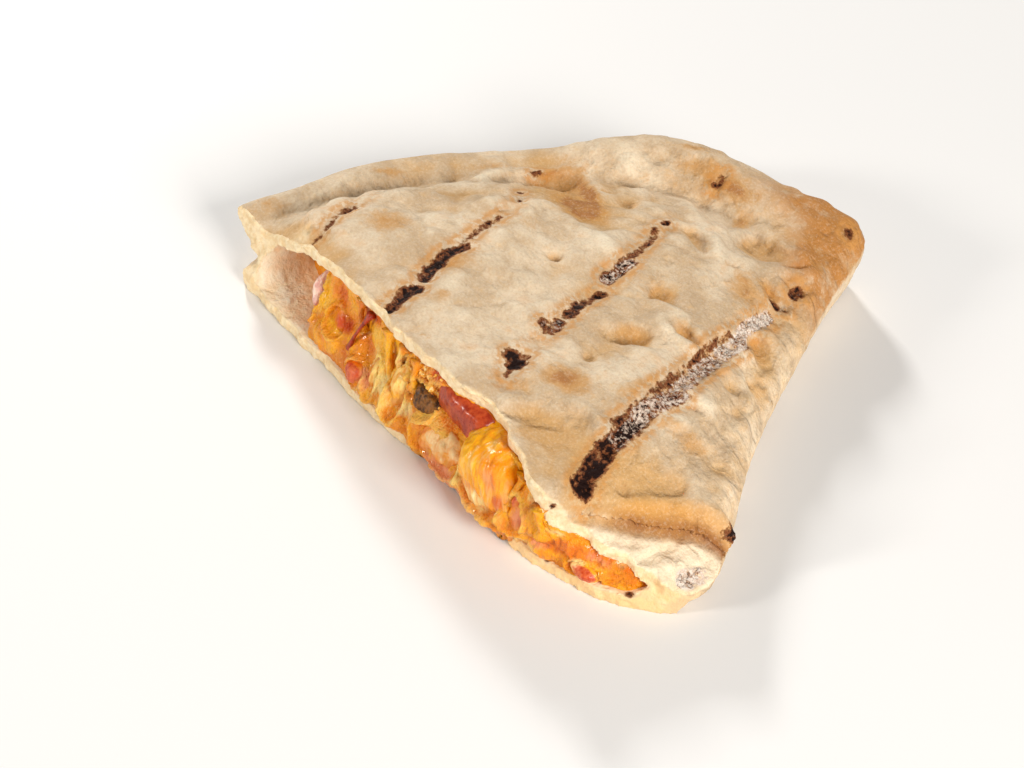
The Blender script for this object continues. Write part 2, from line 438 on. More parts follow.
def mark_field(x, y):
    """Strength of the grill char, its share of ash, and the distance to its edge in millimetres."""
    char = np.zeros(np.shape(x))
    ash = np.zeros(np.shape(x))
    edge = np.full(np.shape(x), 99.0)
    for points, half, strength, pale in MARKS:
        far = path_distance(x, y, curve(points, 40))[0]
        here = strength * smooth(half * 1.5, half * 0.5, far)
        ash = np.where(here > char, pale, ash)
        char = np.maximum(char, here)
        edge = np.minimum(edge, far - half)
    return char, ash, edge


def inner_skin(x, y, thick=WALL, inset=0.0):
    """Lower and upper wall of the hollow over a plan point, closing to a rounded nose."""
    far = path_distance(x, y, INNER)[0]
    middle = edge_blend(x, y, NOSE_HEIGHT[:, None])[1][..., 0]
    cap = np.sqrt(np.clip(1 - (1 - np.clip((far - inset) / 4.0, 0, 1)) ** 2, 0, 1)) * 0.985 + 0.015
    top = np.maximum(upper_skin(x, y, 2.8) - thick, middle + 0.4)
    return middle - (middle - thick) * cap, middle + (top - middle) * cap


def front_of(points, x):
    """How far back a cut edge lies at x."""
    return np.interp(x, [p[0] for p in points], [p[1] for p in points])


def on_line(line, share):
    """The x at a share of one of the lines of the cut."""
    return line[0] + line[1] * share


def new_piece(name, verts, faces):
    """A mesh object in the row frame from plan millimetres, with outward faces and smooth shading."""
    mesh = bpy.data.meshes.new(name)
    verts = (np.asarray(verts, float) - np.array([*CENTRE, 0])) * MM
    mesh.from_pydata(verts.tolist(), [], faces)
    bm = bmesh.new()
    bm.from_mesh(mesh)
    bmesh.ops.recalc_face_normals(bm, faces=bm.faces[:])
    bm.to_mesh(mesh)
    bm.free()
    mesh.shade_smooth()
    piece = bpy.data.objects.new(name, mesh)
    bpy.context.scene.collection.objects.link(piece)
    return piece


def loft(rings, end_loops):
    """Skins rings of equal length and closes both ends with faces given as lists of ring places."""
    count = len(rings[0])
    faces = []
    for i in range(len(rings) - 1):
        for j in range(count):
            k = (j + 1) % count
            faces.append((i * count + j, i * count + k, (i + 1) * count + k, (i + 1) * count + j))
    last = (len(rings) - 1) * count
    faces += [tuple(reversed(loop)) for loop in end_loops]
    faces += [tuple(last + j for j in loop) for loop in end_loops]
    return np.concatenate(rings), faces


def evaluated(piece):
    """Applies the piece's modifiers for good."""
    made = bpy.data.meshes.new_from_object(piece.evaluated_get(bpy.context.evaluated_depsgraph_get()))
    piece.modifiers.clear()
    piece.data = made
    return piece


def bread_rings():
    """The bread as if it were solid: rings from the cut edge round the rim and back underneath."""
    rim_steps = np.concatenate([[0, 0.12, 0.35, 0.7, 1.2], np.linspace(1.8, 21, 34)])
    face_share = np.linspace(0, 1, 15)
    tops, rings = [], []
    shares = np.linspace(0, 1, BREAD_SECTIONS)
    ats = np.round(shares * (len(EDGE) - 1)).astype(int)
    x_up = on_line(UPPER_LINE, shares)
    ups = np.column_stack([x_up, front_of(UPPER_EDGE, x_up)])
    chords = EDGE[ats] - ups
    leans = np.abs((chords * EDGE_IN[ats]).sum(1)) / np.linalg.norm(chords, axis=1)
    leans = np.convolve(np.pad(np.maximum(leans, 0.3), 20, "edge"), np.ones(41) / 41, "valid")
    for u, at, up, chord, lean in zip(shares, ats, ups, chords, leans):
        x_low, x_mid = on_line(LOWER_LINE, u), on_line(MIDDLE_LINE, u)
        low = np.array([x_low, front_of(LOWER_EDGE, x_low)])
        mid = np.array([x_mid, 0.5 * (front_of(UPPER_EDGE, x_mid) + front_of(LOWER_EDGE, x_mid))])
        rim, normal = EDGE[at], EDGE_IN[at]
        length = np.linalg.norm(chord)
        steps = rim_steps / lean
        steps = steps * min(1, 0.72 * length / steps[-1])
        places = np.concatenate([np.linspace(length, steps[-1], BREAD_DEPTH_STEPS + 1)[:-1], steps[::-1]])
        tops.append(rim - np.outer(places / length, chord))
        rings.append((rim, normal, SIDE_STEPS[at], up, mid, low))
    tops = np.array(tops)
    top_z = upper_skin(tops[..., 0], tops[..., 1])
    out = []
    for top, z, (rim, normal, side, up, mid, low) in zip(tops, top_z, rings):
        ring = [np.column_stack([top, z])]
        fine = np.linspace(0, len(side), 3 * len(side) + 1)[1:]
        inset = np.interp(fine, np.arange(len(side) + 1), [0, *side[:, 0]])
        height = np.interp(fine, np.arange(len(side) + 1), [z[-1], *side[:, 1]])
        ring.append(np.column_stack([rim + normal * inset[:, None], height]))
        under = rim + normal * side[-1][0]
        share = np.linspace(0, 1, 24)[1:, None]
        ring.append(np.column_stack([under * (1 - share) + low * share, np.zeros(len(share))]))
        thick_low = min(3.3, 0.5 * z[0])
        mid_z = 0.5 * (thick_low + max(z[0] - 3.4, thick_low))
        lip_z = max(z[0] - 3.4, mid_z + 0.5 * (z[0] - mid_z))
        knots = np.array([[*low, 0.0], [*low, thick_low], [*mid, mid_z], [*up, lip_z], [*up, z[0]]])
        at = np.array([0, 0.27, 0.5, 0.73, 1.0])
        face = np.column_stack([np.interp(face_share, at, knots[:, k]) for k in range(3)])
        ring.append(face[1:-1])
        out.append(np.concatenate(ring))
    return out, tops.shape[1]


def bread_solid():
    """The outer body of the bread, whose two ends are closed in four flat loops each."""
    rings, n_top = bread_rings()
    count = len(rings[0])
    n_face = 13
    lip, seam, low_lip = n_top + 2, n_top + 8, n_top + 14
    face = count - n_face
    end_loops = [
        (*range(0, lip + 1), *range(face + 9, count)),
        (*range(lip, seam + 1), *range(face + 6, face + 10)),
        (*range(seam, low_lip + 1), *range(face + 3, face + 7)),
        (*range(low_lip, face + 4),),
    ]
    verts, faces = loft(rings, end_loops)
    return new_piece("bread_skin", verts, faces)


def hollow_cutter(sections=150, steps=44):
    """The room inside the pocket, drawn out past the cut so that it leaves the mouth open."""
    rings = []
    share = np.linspace(0, 1, steps)[:, None] ** 0.62
    for u in np.linspace(0, 1, sections):
        back = INNER[int(round(u * (len(INNER) - 1)))]
        start = np.array([on_line(MOUTH_LINE, u), -MOUTH_REACH])
        rings.append(start + share * (back - start))
    places = np.array(rings)
    low, high = inner_skin(places[..., 0], places[..., 1])
    solid = [np.concatenate([np.column_stack([p, h]), np.column_stack([p, b])[::-1]])
             for p, b, h in zip(places, low, high)]
    return new_piece("hollow_cutter", *loft(solid, [tuple(range(len(solid[0])))]))


def plan_points(mesh):
    """The mesh points in plan millimetres, one row each."""
    points = np.empty(len(mesh.vertices) * 3)
    mesh.vertices.foreach_get("co", points)
    return points.reshape(-1, 3) / MM + np.array([*CENTRE, 0])


def set_points(mesh, points):
    mesh.vertices.foreach_set("co", ((points - np.array([*CENTRE, 0])) * MM).ravel())
    mesh.update()


def normals_of(mesh):
    found = np.empty(len(mesh.vertices) * 3)
    mesh.vertices.foreach_get("normal", found)
    return found.reshape(-1, 3)


def paint_attribute(mesh, name, values):
    """Stores a value from 0 to 1 for each point, which a material reads by its name."""
    layer = mesh.attributes.new(name, "FLOAT", "POINT")
    layer.data.foreach_set("value", np.clip(values, 0, 1).astype(np.float32))


bread = bread_solid()
cutter = hollow_cutter()
cut = bread.modifiers.new("hollow", "BOOLEAN")
cut.operation = "DIFFERENCE"
cut.solver = "EXACT"
cut.object = cutter
even = bread.modifiers.new("even", "REMESH")
even.mode = "VOXEL"
even.voxel_size = SKIN_STEP * MM
evaluated(bread)
bpy.data.objects.remove(cutter)

p = plan_points(bread.data)
n = normals_of(bread.data)
x, y, z = p.T
near_edge = edge_blend(x, y, NOSE_HEIGHT[:, None])[0]
below_skin = upper_skin(x, y) - z
on_top = smooth(1.1, 0.3, below_skin) * smooth(-0.2, 0.3, n[:, 2])
shape = relief(x, y)
fine = grain(p, 0.9, 3)
small = grain(p, 2.4, 5)
medium = grain(p, 5.0, 7)
large = grain(p, 11.0, 9)

# Where the grill charred it: the marks on the top, then single spots on the corner and the lips.
char, ash, from_mark = mark_field(x, y)
char = char * on_top
ash = ash * smooth(0.3, -0.3, from_mark)
spotted = np.zeros(len(p))
for *place, radius, strength, pale in SPOTS:
    far = np.linalg.norm(p - np.array(place), axis=1)
    here = strength * smooth(radius * 1.2, radius * 0.4, far)
    ash = np.where(here > char, pale, ash)
    spotted = np.maximum(spotted, here)
    char = np.maximum(char, here)
bare = 1 - smooth(0.0, 0.3, spotted)

# The top puffs up unevenly between the grill marks, and each mark is pressed in.
puff = 0.55 * large + 0.45 * medium + 1.2 * (np.abs(grain(p, 6.5, 8)) - 0.25) + 0.30 * small
deeper = 0.45 * np.minimum(shape, 0) + 0.12 * np.clip(shape, 0, 3)
lift = on_top * np.maximum(puff + deeper + 0.05 * fine, -DEEPEST) * smooth(0.3, 5, near_edge)
from_bar = np.min([path_distance(x, y, curve(points, 60))[0] for points in PRESSED], axis=0)
lift -= on_top * (0.65 * np.exp(-(from_bar / 2.4) ** 2) + 0.35 * smooth(0.6, -0.6, from_mark))
lift += on_top * 0.40 * np.exp(-((from_bar - 5.5) / 2.6) ** 2)
lift += on_top * 0.22 * fine * smooth(0.4, -0.2, from_mark)

# At the folded corner a roll of dough swells behind a crease, with a loose flap in front of it.
to_crease, side_of = path_distance(x, y, curve(FLAP_CREASE, 120))
on_roll = side_of > 0
up_roll = np.clip(to_crease / ROLL_WIDTH, 0, 1)
swell = 1.3 * np.sin(np.pi * up_roll) ** 2 * smooth(1.0, 0.55, up_roll)
lift += on_top * on_roll * swell * smooth(50, 54, x)
crease = np.exp(-(to_crease / 0.9) ** 2) * on_top * smooth(50.5, 56.0, x)
lift -= on_top * (~on_roll) * 0.7 * np.exp(-(to_crease / 1.1) ** 2) * smooth(49.5, 53.0, x)
flap = on_top * (~on_roll) * smooth(0.3, 2.0, to_crease) * smooth(48, 52, x)
lift += flap * (0.7 * np.abs(grain(p, 4.0, 15)) + 0.25 * small) * smooth(0, 2.0, near_edge)
fold_side = smooth(17, 6, near_edge) * smooth(12, 25, x + 0.25 * y) * on_top
lift += fold_side * 0.6 * grain(p * np.array([1.0, 1.7, 1.0]), 4.4, 11)

# The cut shows open crumb: it is rough, and its outline wanders.
from_cut = y - front_of(UPPER_EDGE, x)
low_cut = y - front_of(LOWER_EDGE, x)
cut_face = smooth(-0.4, -0.75, n[:, 1]) * smooth(7, 3, np.minimum(np.abs(from_cut), np.abs(low_cut)))
lift += cut_face * (0.26 * grain(p, 1.7, 13) + 0.12 * fine)
rim_side = smooth(0.3, -0.1, n[:, 2]) * smooth(0.4, 1.2, z) * smooth(3, 0.5, near_edge)
lift += rim_side * (0.30 * small + 0.10 * fine)
p = p + n * lift[:, None]
x, y, z = p.T
above = np.maximum(z - PLATE_HEIGHT, 0.0)
p[:, 2] -= above - PLATE_GIVE * np.tanh(above / PLATE_GIVE)
along = p * np.array([1.0, 0.0, 0.25])
wander = 0.55 * grain(along, 2.6, 21) + 0.5 * grain(along, 6.5, 22) - 1.5 * bumps(x, z, NICKS)
p[:, 1] += wander * smooth(6, 0, from_cut) * smooth(-66, -60, x) * smooth(68, 60, x)
p[:, 2] = np.maximum(z, 0.0)
set_points(bread.data, p)

# Only the inside of the pocket is soaked, and there no surface faces outward.
outward = p[:, :2] - np.array([6.0, 45.0])
outward = (outward * n[:, :2]).sum(axis=1) / np.linalg.norm(outward, axis=1)
soaked = smooth(2.0, 3.0, below_skin) * smooth(2.0, 2.9, z) * smooth(3.6, 4.6, near_edge)
soaked *= (1 - cut_face) * smooth(0.7, 0.4, outward)
border = np.maximum(np.exp(-((from_mark - 1.2) / 0.9) ** 2), 0.6 * np.exp(-((from_bar - 1.8) / 1.4) ** 2))
fields = {
    "char": char,
    "ash": ash,
    "border": border * on_top,
    "toast": 0.8 * bumps(x, y, TOAST) * smooth(5, 1.5, below_skin),
    "crumb": cut_face * bare,
    "soaked": soaked * bare,
    "fold": smooth(13, 2, near_edge) * smooth(5, 30, x),
    "hollow": smooth(0.0, -1.7, shape + puff) * on_top,
    "crest": smooth(0.4, 2.0, shape + puff) * on_top,
    "crease": crease,
    "roll": on_top * on_roll * smooth(0.75, 0.25, up_roll) * smooth(50, 54, x),
    "flap": flap,
    "rim": smooth(15, 7, near_edge) * smooth(-16, 2, x) * smooth(80, 96, y) * on_top,
    "greasy": smooth(6, 1, low_cut) * smooth(-6, 24, x) * smooth(10, 6, z) * bare,
}
for label, values in fields.items():
    paint_attribute(bread.data, label, values)


class Wire:
    """A shader value that adds its own Math nodes when it is used in sums and products."""

    def __init__(self, paint, socket):
        self.paint = paint
        self.socket = socket

    def _math(self, operation, a, b):
        return self.paint.add("ShaderNodeMath", {"operation": operation}, {0: a, 1: b})

    def __add__(self, other):
        return self._math("ADD", self, other)

    def __sub__(self, other):
        return self._math("SUBTRACT", self, other)

    def __rsub__(self, other):
        return self._math("SUBTRACT", other, self)

    def __mul__(self, other):
        return self._math("MULTIPLY", self, other)

    __radd__ = __add__
    __rmul__ = __mul__

    def step(self, low, high):
        """0 below low, 1 above high, smooth between."""
        return self.paint.add("ShaderNodeMapRange", {"interpolation_type": "SMOOTHSTEP"},
                              {0: self, 1: low, 2: high})

    def clamp(self):
        return self.paint.add("ShaderNodeClamp", {}, {0: self})


class Paint:
    """One material: a Principled shader and the nodes that feed it."""

    def __init__(self, name):
        self.material = bpy.data.materials.new(name)
        self.material.use_nodes = True
        self.tree = self.material.node_tree
        self.shader = self.tree.nodes["Principled BSDF"]
        self.place = self.add("ShaderNodeTexCoord", {}, {}, "Object")

    def add(self, kind, settings, sockets, out=0):
        node = self.tree.nodes.new(kind)
        for key, value in settings.items():
            setattr(node, key, value)
        for key, value in sockets.items():
            self.feed(node.inputs[key], value)
        return Wire(self, node.outputs[out])

    def feed(self, socket, value):
        if isinstance(value, Wire):
            self.tree.links.new(value.socket, socket)
        elif isinstance(value, tuple) and socket.type == "RGBA":
            socket.default_value = (*value, 1.0)
        else:
            socket.default_value = value

    def noise(self, size, detail=2.0, rough=0.5, stretch=(1, 1, 1), seed=0.0):
        """Noise of a feature size in millimetres."""
        scale = tuple(s / (size * MM) for s in stretch)
        place = self.add("ShaderNodeMapping", {},
                         {"Vector": self.place, "Scale": scale, "Location": (seed, seed, 0)})
        return self.add("ShaderNodeTexNoise", {},
                        {"Vector": place, "Scale": 1.0, "Detail": detail, "Roughness": rough})

    def field(self, name):
        return self.add("ShaderNodeAttribute", {"attribute_name": name}, {}, "Fac")

    def mix(self, share, a, b):
        return self.add("ShaderNodeMix", {"data_type": "RGBA"}, {0: share, 6: a, 7: b}, 2)

    def layers(self, base, coats):
        """Lays coats of colour over a base, each as (share, display colour)."""
        for share, tint in coats:
            base = self.mix(share, base, colour(*tint))
        return base

    def bump(self, height, millimetres):
        return self.add("ShaderNodeBump", {},
                        {"Height": height, "Distance": millimetres * MM, "Strength": 1.0})

    def finish(self, piece, **sockets):
        for key, value in sockets.items():
            self.feed(self.shader.inputs[key.replace("_", " ")], value)
        piece.data.materials.clear()
        piece.data.materials.append(self.material)


def colour(red, green, blue):
    """A display colour from 0 to 255 as linear light."""
    parts = []
    for value in (red, green, blue):
        value /= 255
        parts.append(value / 12.92 if value <= 0.04045 else ((value + 0.055) / 1.055) ** 2.4)
    return tuple(parts)


def bread_finish():
    paint = Paint("grilled_flatbread")
    wide = paint.noise(15, 3, 0.55)
    patch = paint.noise(4.5, 4, 0.6, seed=4.0)
    weave = paint.noise(1.5, 3, 0.6, seed=9.0)
    speck = paint.noise(0.6, 2, 0.6, seed=2.0)
    streak = paint.noise(0.9, 3, 0.7, seed=12.0)
    char, ash, fold, greasy = (paint.field(name) for name in ("char", "ash", "fold", "greasy"))

    # Pale dough, golden where it lies low or was oiled, lightest on the crests.
    shade = wide * 0.6 + patch * 0.3 + weave * 0.1
    skin = paint.mix(shade.step(0.42, 0.58), colour(200, 174, 141), colour(224, 205, 177))
    skin = paint.layers(skin, [
        (weave.step(0.50, 0.72) * 0.3, (210, 172, 118)),
        ((paint.field("hollow") + (patch - 0.5) * 0.3).clamp() * 0.7, (202, 154, 86)),
        (paint.field("crest") * 0.65, (245, 232, 206)),
        (fold * patch.step(0.40, 0.66) * 0.3, (238, 200, 146)),
        (wide.step(0.54, 0.68) * patch.step(0.45, 0.6) * 0.3, (222, 166, 106)),
        (paint.field("rim") * patch.step(0.20, 0.52) * 0.95, (182, 122, 56)),
        (paint.field("flap") * 0.85, (250, 232, 202)),
        (paint.field("roll") * (0.6 + (patch - 0.5) * 0.9), (218, 154, 66)),
        (paint.field("crease") * 0.85, (138, 78, 30)),
    ])
    # Toasted freckles, then browner ones, where the top touched the grill plate.
    browned = paint.field("toast") + (weave - 0.5) * 0.6 + (patch - 0.5) * 0.6
    skin = paint.layers(skin, [
        (browned.step(0.12, 0.75) * 0.8, (196, 144, 78)),
        (browned.step(0.66, 1.10) * 0.75, (156, 94, 40)),
        (speck.step(0.50, 0.66) * 0.16, (184, 140, 98)),
        (speck.step(0.50, 0.34) * 0.12, (252, 240, 220)),
        (paint.field("border") * weave.step(0.36, 0.54) * 0.8, (202, 144, 78)),
    ])
    # Char: tan at the fringe, then brown, then black, broken up by the grain. Ash lies on it in pale
    # patches, with the brown left between them and along the upper fringe.
    inside_mark = char.step(0.0, 0.25)
    broken = (speck - 0.5) * 0.6 + (weave - 0.5) * 2.0 + (patch - 0.5) * 1.6
    burnt = char + broken * inside_mark - ash * 0.3 - 0.12
    dusted = ash * 1.1 + (streak - 0.5) * 3.8 + (patch - 0.5) * 0.8 - 0.1
    ashy = inside_mark * (ash * 5.0 - 0.4).clamp()
    skin = paint.layers(skin, [
        (burnt.step(-0.04, 0.38) * 0.8, (188, 132, 78)),
        (burnt.step(0.20, 0.60) * 0.95, (122, 66, 36)),
        (burnt.step(0.56, 0.90), (30, 8, 3)),
        (dusted.step(0.15, 0.60) * ashy * 0.95, (210, 186, 168)),
        (dusted.step(0.60, 1.00) * ashy * 0.8, (244, 232, 218)),
    ])
    # Inside, the dough is pale and damp; at the cut it is crumb, stained by the filling low down.
    inside = paint.mix(patch.step(0.3, 0.7), colour(255, 230, 190), colour(255, 246, 222))
    dough = paint.mix(weave.step(0.35, 0.65), colour(238, 208, 160), colour(250, 230, 192))
    dough = paint.mix(greasy * patch.step(0.25, 0.6) * 0.7, dough, colour(246, 200, 134))
    skin = paint.mix(paint.field("soaked"), skin, inside)
    skin = paint.mix(paint.field("crumb"), skin, dough)
    skin = paint.mix(greasy * 0.45, skin, colour(244, 204, 146))
    # Soft wrinkles run through the dough, deepest by the fold.
    wrinkle = paint.noise(9.0, 1, 0.5, stretch=(1.0, 1.5, 1.0), seed=20.0) - 0.5
    wrinkle = (1.0 - wrinkle * wrinkle * 160.0).clamp() * (0.4 + fold * 0.6)
    crusted = speck * burnt.step(0.2, 0.5)
    height = weave * 0.45 + speck * 0.08 + patch * 1.1 + crusted * 0.6 - wrinkle * 0.35
    paint.finish(
        bread, Base_Color=skin, Roughness=0.82 - greasy * 0.3, Normal=paint.bump(height, 0.85),
        Subsurface_Weight=0.04, Subsurface_Scale=0.002, Subsurface_Radius=(1.0, 0.6, 0.35),
        Specular_IOR_Level=0.2)


bread_finish()
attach(bread, "root")
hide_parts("bread")

# The filling is melted yellow cheese that has run together round the pieces. At the cut it was
# torn more than sliced, so its face is lumpy and glossy and hangs down at the middle. The lobes of
# its face are (x, z, half width, half height, turn, bulge).
LOBES = [
    (-33, 17, 3.4, 5.5, 10, 1.0), (-24, 19, 4.0, 4.0, -20, 1.2), (-29, 7.5, 4.6, 4.0, 20, 0.9),
    (-19.5, 10.5, 3.6, 5.0, 30, 1.0), (-13.5, 19, 4.4, 5.0, 10, 1.7), (-9, 13, 2.2, 6.5, 8, 1.2),
    (-6.6, 20.5, 3.6, 3.6, 0, 1.3), (-13, 5.4, 3.6, 3.4, 0, 1.0), (-5.4, 7, 2.0, 6.0, 6, 1.3),
    (0.6, 19.5, 3.4, 4.6, 0, 1.3), (5.4, 22.5, 4.6, 2.2, 0, 1.2), (-1.0, 3.4, 2.6, 3.4, 0, 1.2),
    (9.5, 13.0, 7.4, 1.9, -4, 2.0), (3.6, 2.2, 3.4, 2.0, 0, 1.3), (21.5, 5.0, 3.4, 4.0, 20, 1.1),
    (15.5, 2.6, 4.4, 2.2, 0, 1.2), (29, 4.2, 6.0, 2.6, 0, 1.5), (38.5, 17.5, 3.4, 4.0, 0, 1.0),
    (43, 11.4, 4.6, 3.6, -20, 1.3), (47.4, 15.2, 4.4, 3.0, -30, 1.2), (50.5, 9.4, 4.2, 2.6, -20, 1.2),
    (56, 12, 4.0, 2.0, -20, 1.0), (44, 5.0, 4.0, 2.2, 0, 0.9), (34.5, 22, 3.0, 2.2, 0, 1.0),
]
# Colours of the face as (x, z, half width, half height, turn, strength).
YELLOW = [
    (-33.6, 14.1, 7.9, 2.3, -41, 0.8), (-11.5, 18.4, 10.3, 2.9, 23, 0.9), (-4.7, 12.1, 5.2, 2.2, -47, 0.7),
    (11.7, 8.3, 1.7, 1.2, 7, 0.7), (24.0, 17.6, 3.4, 6.0, -10, 1.0), (46.9, 17.8, 3.9, 1.9, -57, 0.9),
    (55.1, 6.0, 3.5, 1.8, -29, 0.6), (30, 14, 2.4, 5.0, 10, 0.7),
]
DEEP = [
    (-28.6, 17.4, 4.0, 2.2, -17, 0.9), (-15.5, 22.0, 2.3, 1.6, 3, 0.9), (-18.6, 14.1, 3.6, 2.0, 7, 0.6),
    (-17.7, 9.1, 3.8, 2.1, 12, 0.8), (12.3, 14.3, 5.6, 1.3, 9, 0.8), (32.4, 17.0, 2.0, 5.0, 0, 0.9),
    (49.7, 8.8, 5.0, 2.5, 0, 1.1), (60.8, 8.5, 3.5, 1.5, -31, 0.8), (35.7, 8.2, 3.4, 2.0, -16, 0.6),
    (5.8, 22.6, 5.4, 2.6, 0, 0.7), (57, 12, 5, 2.4, -20, 0.7), (-30, 8, 3, 3, 0, 0.5),
]
PALE = [
    (-8.9, 10.9, 6.8, 2.9, -39, 0.9), (-3.0, 17.4, 6.3, 1.8, -70, 0.9), (0.8, 9.3, 3.0, 1.9, -3, 1.0),
    (13.0, 11.0, 5.1, 1.5, 13, 0.7), (21.2, 12.4, 1.3, 6.0, 8, 1.1), (28.4, 8.6, 4.4, 3.0, -10, 1.0),
    (42.2, 18.0, 2.2, 2.1, -59, 0.7), (52.6, 6.6, 1.6, 1.6, -24, 1.0), (40, 4, 5, 2.0, 0, 0.7),
    (58.8, 9.6, 1.4, 1.8, 0, 1.0), (47.5, 12.5, 1.6, 1.2, 0, 0.8),
]
RED = [
    (-25.1, 13.4, 3.3, 2.3, -4, 1.0), (7.6, 23.9, 2.7, 2.6, 9, 0.8), (14.1, 0.8, 3.7, 1.7, 20, 0.7),
    (34.4, 12.2, 2.0, 3.0, -4, 0.9), (-14.2, 21.6, 2.0, 1.6, 0, 0.8), (2.5, 19.6, 4.6, 1.6, 22, 0.5),
    (46.1, 8.2, 3.3, 1.6, -46, 0.4), (20, 15.6, 4, 1.0, 0, 0.5),
]
PINK = [
    (-13.4, 7.8, 2.6, 2.4, 6, 0.8), (15.5, 4.2, 6.5, 2.8, 8, 1.0), (27, 3.8, 4.8, 2.2, -2, 0.9),
    (39.4, 11.0, 2.2, 3.7, -20, 0.8), (55.5, 8.8, 3.0, 1.4, -22, 0.6), (44, 7, 2.4, 1.6, 0, 0.6),
]
# Strings of cheese from the lip of the bread, as points (x, y, z) and a half width.
STRINGS = [
    ([(-20.5, 1.8, 22.6), (-20.2, 0.9, 19.5), (-19.6, 1.0, 15.5)], 0.55),
    ([(-9.6, 1.6, 22.6), (-8.4, 0.3, 18.5), (-7.4, 0.2, 13.5), (-7.2, 1.2, 9)], 0.7),
    ([(-4.0, 1.4, 22.4), (-4.4, 0.2, 18.0), (-4.2, 0.6, 14.5)], 0.5),
    ([(1.0, 1.2, 22.6), (1.6, 0.0, 19), (1.2, 0.6, 15.5)], 0.6),
    ([(37.4, 2.0, 20), (37.0, 0.6, 16.4), (35.6, 0.4, 12.8)], 0.6),
    ([(44.5, 0.4, 18.4), (45.4, 0.2, 14.6), (45.0, 1.8, 10.6)], 0.7),
]
# Where the cheese is crumbly and crisp, and where it is drawn out in threads.
CURDS = [(3, 19.4, 6, 4, 20, 1.0)]
THREADS = [
    (-6, 12, 6, 8, 0, 1.0), (22, 13, 2, 7, 10, 0.5), (-34, 12, 2.4, 6, 0, 0.6), (36, 12, 4, 5, 0, 0.5),
    (11, 14.6, 7, 2, 0, 0.5),
]
# Where pieces stand in the face, as (x, z, half width, half height).
PIECE_RIMS = [
    (28.4, 13.8, 7.6, 8.6), (12.6, 8.6, 8.0, 4.8), (14.2, 19.0, 8.0, 4.0), (4.2, 15.6, 5.0, 3.6),
    (-3.0, 12.4, 2.7, 7.8), (-10.8, 9.4, 1.9, 5.4), (-16.4, 7.0, 3.0, 3.1), (-27.6, 12.0, 3.3, 3.2),
    (-36.4, 12.4, 1.8, 5.2), (38.2, 10.8, 3.0, 5.0), (53.6, 5.5, 3.3, 1.6),
]
FACE_LINE = (-55.6, 117.2)
FACE_SECTIONS = 330
FACE_STEPS = 54
DEPTH_STEPS = 12
# How far the filling has sunk away from the lid behind the cut.
SINK = 1.8
# How far forward and back the face stands from the two cut edges, along the cut.
FRONT_X = [-56, -44, -39, -35, -10, 1, 6, 34, 40, 47, 56, 64]
FRONT_LOW = [15, 13.5, 6, 1.4, 0.9, 0.6, -3.4, -3.2, -0.8, 0.8, 1.2, 2.4]
BACK_X = [-56, -44, -39, -33, 20, 40, 50, 64]
BACK_HIGH = [14, 12.5, 5, 1.8, 1.6, 1.4, 1.2, 2]


def domes(x, z, spots):
    """Rounded lobes that meet in creases."""
    best = np.zeros(np.shape(x))
    for cx, cz, wide, tall, turn, height in spots:
        a = math.radians(turn)
        u = ((x - cx) * math.cos(a) + (z - cz) * math.sin(a)) / wide
        v = (-(x - cx) * math.sin(a) + (z - cz) * math.cos(a)) / tall
        best = np.maximum(best, height * np.sqrt(np.clip(1 - u * u - v * v, 0, 1)))
    return best


def face_place(x, z):
    """How far back the face of the filling stands at a height: it hangs forward low down."""
    low = front_of(LOWER_EDGE, x) + np.interp(x, FRONT_X, FRONT_LOW)
    high = front_of(UPPER_EDGE, x) + np.interp(x, BACK_X, BACK_HIGH)
    rise = smooth(4, 20, z)
    return low * (1 - rise) + high * rise


def paint_face(mesh):
    """Lays the colours of the face over a mesh of the filling."""
    places = plan_points(mesh)
    for label, spots in (("yellow", YELLOW), ("deep", DEEP), ("pale", PALE), ("red", RED), ("pink", PINK)):
        paint_attribute(mesh, label, bumps(places[:, 0], places[:, 2], spots))


def cheese_rings():
    """Rings from left to right, each up the face and back along the roof and floor of the pocket."""
    rings = []
    for u in np.linspace(0, 1, FACE_SECTIONS):
        x = on_line(FACE_LINE, u)
        back = INNER[int(round((0.06 + 0.895 * u) * (len(INNER) - 1)))]
        spill = smooth(2.5, 6.5, x) * smooth(40, 34, x)
        edge = float(front_of(LOWER_EDGE, x))
        bottom_y = max(float(face_place(x, 4.0)), edge + 0.8)
        bottom_y = bottom_y * (1 - spill) + (edge - 0.3) * spill
        top_y = float(face_place(x, 22.0))
        share = np.linspace(0, 1, DEPTH_STEPS)[:, None] ** 2
        bottom = np.array([x, bottom_y]) * (1 - share) + back * share
        top = np.array([x, top_y]) * (1 - share) + back * share
        rings.append((x, spill, bottom, top))
    bottoms = np.array([ring[2] for ring in rings])
    tops = np.array([ring[3] for ring in rings])
    low, _ = inner_skin(bottoms[..., 0], bottoms[..., 1], WALL - 0.2)
    _, high = inner_skin(tops[..., 0], tops[..., 1], WALL - 0.2)
    out = []
    for (x, spill, bottom, top), lows, highs in zip(rings, low, high):
        highs = highs - SINK * smooth(5, 15, np.linalg.norm(top - top[0], axis=1))
        z_low = lows[0] * (1 - spill) + 0.5 * spill
        z = z_low + (highs[0] - z_low) * np.linspace(0, 1, FACE_STEPS)
        y = face_place(np.full(FACE_STEPS, x), z)
        ease = smooth(0, 0.3, np.linspace(0, 1, FACE_STEPS))
        y = y * ease + (bottom[0, 1] - 0.3 - 0.7 * spill) * (1 - ease)
        y[-1] = top[0, 1]
        face = np.column_stack([np.full(FACE_STEPS, x), y, z])
        under = np.column_stack([bottom, lows])[::-1]
        out.append(np.concatenate([under, face, np.column_stack([top, highs])[1:]]))
    return out


